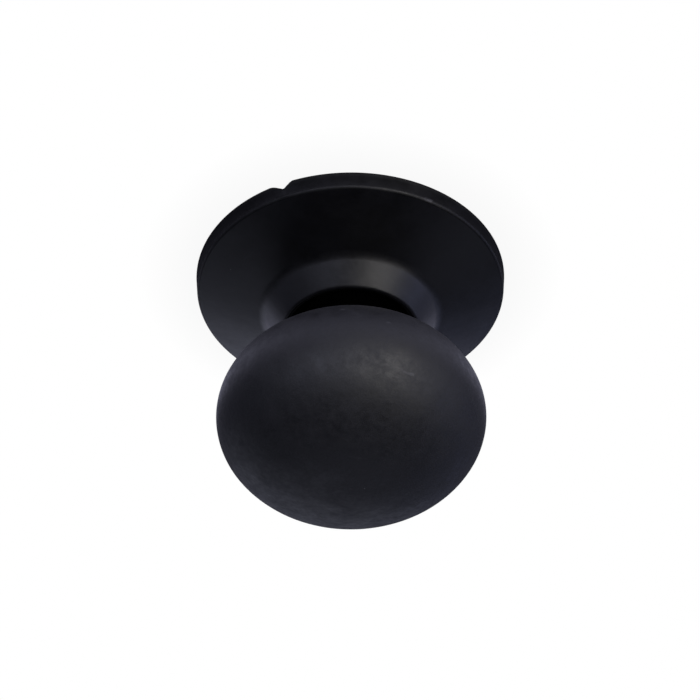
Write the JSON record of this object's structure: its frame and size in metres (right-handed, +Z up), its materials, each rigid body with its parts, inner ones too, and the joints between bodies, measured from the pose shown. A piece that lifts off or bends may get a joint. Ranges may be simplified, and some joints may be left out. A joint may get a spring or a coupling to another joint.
{
  "type": "case opening friction ball",
  "caption": "Black rubber friction ball on a hidden stem above a round flanged rubber base with a raised collar, for turning screw-on watch case backs.",
  "frame": {"origin": "centre of the flat sole, at the lowest point of the bounding box", "axes": "+Z up along the tool's axis from the sole to the ball; the nick in the sole's edge is on the -Y side, 24 degrees towards +X"},
  "size_m": [0.08, 0.08, 0.0672],
  "materials": {
    "ball_rubber": "matte black moulded rubber with a fine grain",
    "flange_rubber": "matte black moulded hard rubber",
    "core_plastic": "matte black nylon",
    "insert_brass": "turned",
    "plate_steel": "zinc plated",
    "fastener_steel": "blackened",
    "pad_rubber": "soft matte black rubber",
    "adhesive_film": "translucent adhesive film"
  },
  "bodies": {
    "root": {"friction_ball": "ball_rubber", "ball_core": "core_plastic", "threaded_insert": "insert_brass", "grip_flange": "flange_rubber", "load_plate": "plate_steel", "clamp_screw": "fastener_steel", "drive_pins": "fastener_steel", "sole_pad": "pad_rubber", "pad_film": "adhesive_film"}
  },
  "joints": []
}
